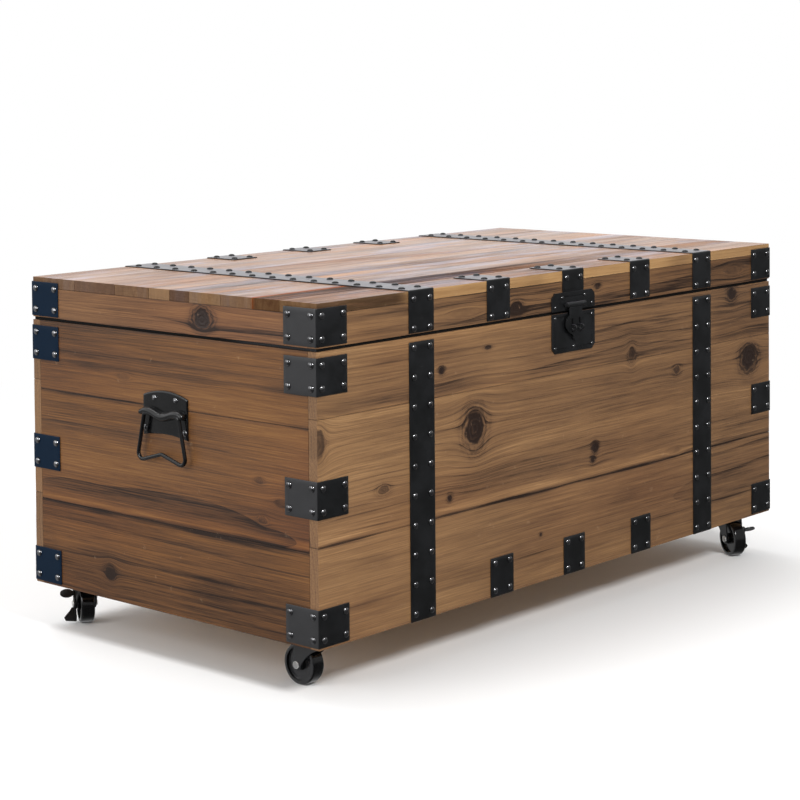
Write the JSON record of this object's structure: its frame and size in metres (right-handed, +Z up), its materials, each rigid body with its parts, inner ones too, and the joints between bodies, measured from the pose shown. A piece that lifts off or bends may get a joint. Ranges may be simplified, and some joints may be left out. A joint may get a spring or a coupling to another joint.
{
  "type": "wooden storage chest",
  "caption": "Rectangular wooden storage chest with a hinged flat lid, steel straps and corner brackets, a hasp latch, end drop handles and swivel casters.",
  "frame": {"origin": "on the floor under the middle of the chest", "axes": "+X along the chest to the right of someone facing its latch, -Y out of the front, +Z up"},
  "size_m": [1.0254, 0.5314, 0.4703],
  "materials": {
    "stained_pine": "satin stain",
    "lid_boards": "satin stain",
    "raw_pine": "plain",
    "black_steel": "satin",
    "nail_black": "gloss",
    "dark_zinc": "satin",
    "wheel_plastic": "gloss",
    "axle_steel": "bright",
    "seal_rubber": "matt"
  },
  "bodies": {
    "chest": {"front_panel": "stained_pine", "back_panel": "stained_pine", "left_end_panel": "stained_pine", "right_end_panel": "stained_pine", "base_panel": "raw_pine", "base_battens": "raw_pine", "corner_blocks": "raw_pine", "front_straps": "black_steel", "back_straps": "black_steel", "base_tabs": "black_steel", "body_corner_brackets": "black_steel", "body_nails": "nail_black", "latch_lower_plate": "black_steel", "latch_eyes": "black_steel", "latch_body_rivets": "nail_black", "left_handle_plate": "black_steel", "right_handle_plate": "black_steel", "handle_rivets": "nail_black", "hinge_body_leaves": "dark_zinc", "hinge_pins": "dark_zinc", "body_screws": "dark_zinc", "stay_wall_bracket": "dark_zinc", "caster_stems": "black_steel"},
    "lid": {"lid_top_boards": "lid_boards", "lid_front_rail": "stained_pine", "lid_back_rail": "stained_pine", "lid_left_rail": "stained_pine", "lid_right_rail": "stained_pine", "lid_battens": "raw_pine", "lid_straps": "black_steel", "lid_tabs": "black_steel", "lid_corner_brackets": "black_steel", "lid_nails": "nail_black", "latch_upper_plate": "black_steel", "latch_lid_rivets": "nail_black", "latch_hinge_pin": "black_steel", "hinge_lid_leaves": "dark_zinc", "lid_screws": "dark_zinc", "stay_lid_bracket": "dark_zinc", "lid_seal": "seal_rubber"},
    "hasp": {"latch_hasp": "black_steel"},
    "left_bail": {"left_handle_bail": "black_steel"},
    "right_bail": {"right_handle_bail": "black_steel"},
    "stay_lower": {"stay_lower_arm": "dark_zinc", "stay_knee_rivet": "dark_zinc"},
    "stay_upper": {"stay_upper_arm": "dark_zinc"},
    "front_left_caster": {"front_left_fork": "black_steel", "front_left_axle": "axle_steel"},
    "front_left_roller": {"front_left_wheel": "wheel_plastic"},
    "back_left_caster": {"back_left_fork": "black_steel", "back_left_axle": "axle_steel"},
    "back_left_roller": {"back_left_wheel": "wheel_plastic"},
    "back_left_brake": {"back_left_brake_lever": "black_steel"},
    "front_right_caster": {"front_right_fork": "black_steel", "front_right_axle": "axle_steel"},
    "front_right_roller": {"front_right_wheel": "wheel_plastic"},
    "front_right_brake": {"front_right_brake_lever": "black_steel"},
    "back_right_caster": {"back_right_fork": "black_steel", "back_right_axle": "axle_steel"},
    "back_right_roller": {"back_right_wheel": "wheel_plastic"}
  },
  "joints": [
    {"name": "lid_hinge", "type": "hinge", "parent": "chest", "child": "lid", "pos_m": [0, 0.2594, 0.41175], "axis": [-1, 0, 0], "range_deg": [0, 95]},
    {"name": "hasp_hinge", "type": "hinge", "parent": "lid", "child": "hasp", "pos_m": [0, -0.2609, 0.42125], "axis": [-1, 0, 0], "range_deg": [0, 150]},
    {"name": "left_bail_hinge", "type": "hinge", "parent": "chest", "child": "left_bail", "pos_m": [-0.5085, 0, 0.311], "axis": [0, 1, 0], "range_deg": [0, 90]},
    {"name": "right_bail_hinge", "type": "hinge", "parent": "chest", "child": "right_bail", "pos_m": [0.5085, 0, 0.311], "axis": [0, -1, 0], "range_deg": [0, 90]},
    {"name": "stay_wall_pivot", "type": "hinge", "parent": "chest", "child": "stay_lower", "pos_m": [0.4825, 0.1844, 0.28175], "axis": [-1, 0, 0], "range_deg": [0, 95]},
    {"name": "stay_knee_pivot", "type": "hinge", "parent": "stay_lower", "child": "stay_upper", "pos_m": [0.4825, -0.0156, 0.30175], "axis": [1, 0, 0], "range_deg": [0, 95]},
    {"name": "front_left_swivel", "type": "hinge", "parent": "chest", "child": "front_left_caster", "pos_m": [-0.4525, -0.2085, 0.055], "axis": [0, 0, 1], "continuous": true},
    {"name": "front_left_roll", "type": "hinge", "parent": "front_left_caster", "child": "front_left_roller", "pos_m": [-0.4525, -0.1865, 0.025], "axis": [-1, 0, 0], "continuous": true},
    {"name": "back_left_swivel", "type": "hinge", "parent": "chest", "child": "back_left_caster", "pos_m": [-0.4525, 0.2085, 0.055], "axis": [0, 0, 1], "continuous": true},
    {"name": "back_left_roll", "type": "hinge", "parent": "back_left_caster", "child": "back_left_roller", "pos_m": [-0.44084, 0.22716, 0.025], "axis": [-0.848, 0.5299, 0], "continuous": true},
    {"name": "back_left_brake_pivot", "type": "hinge", "parent": "back_left_caster", "child": "back_left_brake", "pos_m": [-0.44084, 0.22716, 0.025], "axis": [-0.848, 0.5299, 0], "range_deg": [0, 20]},
    {"name": "front_right_swivel", "type": "hinge", "parent": "chest", "child": "front_right_caster", "pos_m": [0.4525, -0.2085, 0.055], "axis": [0, 0, 1], "continuous": true},
    {"name": "front_right_roll", "type": "hinge", "parent": "front_right_caster", "child": "front_right_roller", "pos_m": [0.44177, -0.2277, 0.025], "axis": [0.8729, -0.4879, 0], "continuous": true},
    {"name": "front_right_brake_pivot", "type": "hinge", "parent": "front_right_caster", "child": "front_right_brake", "pos_m": [0.44177, -0.2277, 0.025], "axis": [0.8729, -0.4879, 0], "range_deg": [0, 20]},
    {"name": "back_right_swivel", "type": "hinge", "parent": "chest", "child": "back_right_caster", "pos_m": [0.4525, 0.2085, 0.055], "axis": [0, 0, 1], "continuous": true},
    {"name": "back_right_roll", "type": "hinge", "parent": "back_right_caster", "child": "back_right_roller", "pos_m": [0.45856, 0.22965, 0.025], "axis": [-0.9613, 0.2756, 0], "continuous": true}
  ],
  "couplings": [
    {"joint": "stay_wall_pivot", "follows": "lid_hinge", "ratio": 1},
    {"joint": "stay_knee_pivot", "follows": "lid_hinge", "ratio": 1}
  ]
}
